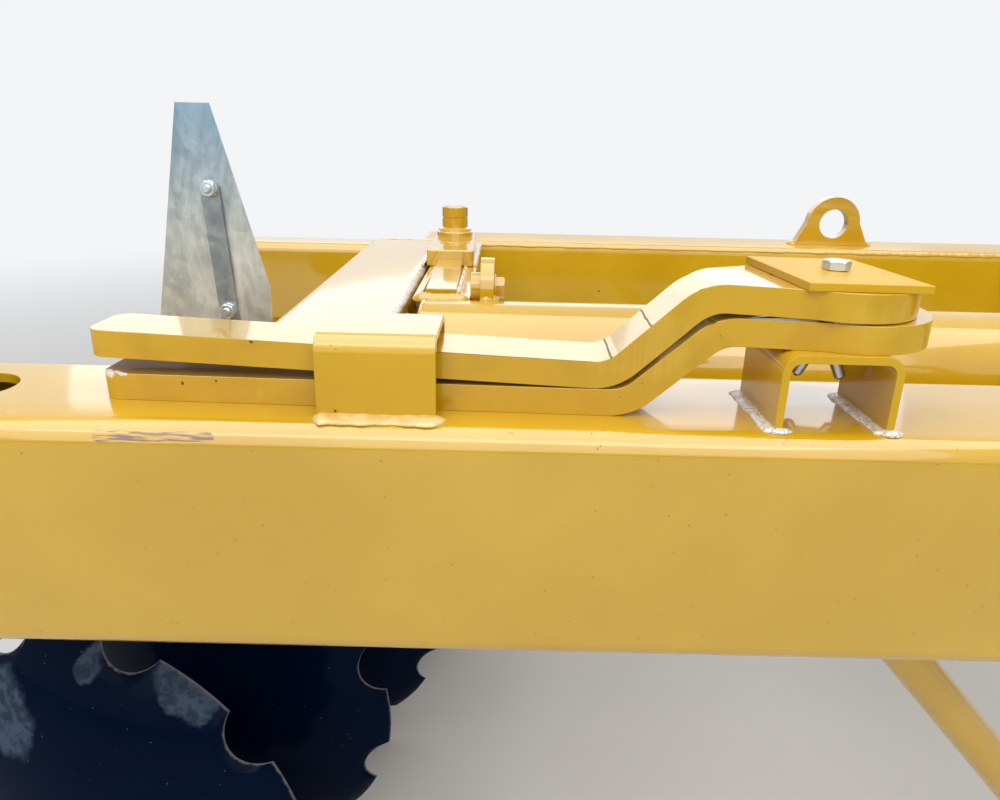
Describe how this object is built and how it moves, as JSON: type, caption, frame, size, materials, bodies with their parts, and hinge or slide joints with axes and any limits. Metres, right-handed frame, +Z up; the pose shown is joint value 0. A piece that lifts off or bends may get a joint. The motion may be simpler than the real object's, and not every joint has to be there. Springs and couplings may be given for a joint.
{
  "type": "disc harrow main-frame bay with a disc gang and stowed gang wrenches",
  "caption": "Welded bay of a disc harrow's main frame with one notched disc gang below and two cranked gang-bolt wrenches stowed on its rail.",
  "frame": {"origin": "centre of the near rail's joint face, where the bay bolts to the rest of the frame", "axes": "+X out of the joint face along the rails, +Y from the near rail to the far rail, +Z up"},
  "size_m": [2.2216, 1.3966, 1.233],
  "materials": {
    "yellow_paint": "gloss enamel over welded steel",
    "bright_zinc": "bright zinc plate",
    "galvanised": "galvanised sheet",
    "disc_black": "gloss black enamel",
    "cast_iron": "black painted casting"
  },
  "bodies": {
    "frame": {"near_rail": "yellow_paint", "near_cap": "yellow_paint", "near_flange": "yellow_paint", "far_rail": "yellow_paint", "far_rail_cap": "yellow_paint", "far_nose": "yellow_paint", "nose_cap": "yellow_paint", "far_flange": "yellow_paint", "cross_beam_left": "yellow_paint", "cross_beam_right": "yellow_paint", "centre_tube": "yellow_paint", "tube_stub": "yellow_paint", "pivot_arm": "yellow_paint", "pivot_strap": "yellow_paint", "pivot_block": "yellow_paint", "pivot_pin": "yellow_paint", "tube_lug": "yellow_paint", "lug_boss": "yellow_paint", "lug_bolt": "yellow_paint", "wrench_keeper": "yellow_paint", "wrench_stand": "yellow_paint", "wrench_lower": "yellow_paint", "wrench_upper": "yellow_paint", "cover_plate": "yellow_paint", "retaining_bolt": "bright_zinc", "wing_nut": "bright_zinc", "lifting_eye_near": "yellow_paint", "lifting_eye_far": "yellow_paint", "shield_tab": "yellow_paint", "shield_plate": "galvanised", "shield_strap": "galvanised", "shield_bolts": "bright_zinc", "brace_lugs": "yellow_paint", "brace_tube": "yellow_paint", "brace_pin": "bright_zinc", "gang_beam": "yellow_paint", "beam_caps": "yellow_paint", "gang_pads": "yellow_paint", "hanger_near": "yellow_paint", "hanger_far": "yellow_paint", "bearing_near": "yellow_paint", "bearing_far": "yellow_paint"},
    "gang": {"gang_shaft": "cast_iron", "spools": "cast_iron", "disc_1": "disc_black", "disc_2": "disc_black", "disc_3": "disc_black", "disc_4": "disc_black", "disc_5": "disc_black", "gang_washers": "cast_iron", "gang_nuts": "cast_iron"}
  },
  "joints": [
    {"name": "gang_spin", "type": "hinge", "parent": "frame", "child": "gang", "pos_m": [-1.926, 0.161, -0.5795], "axis": [0.2351, 0.972, 0], "continuous": true}
  ]
}
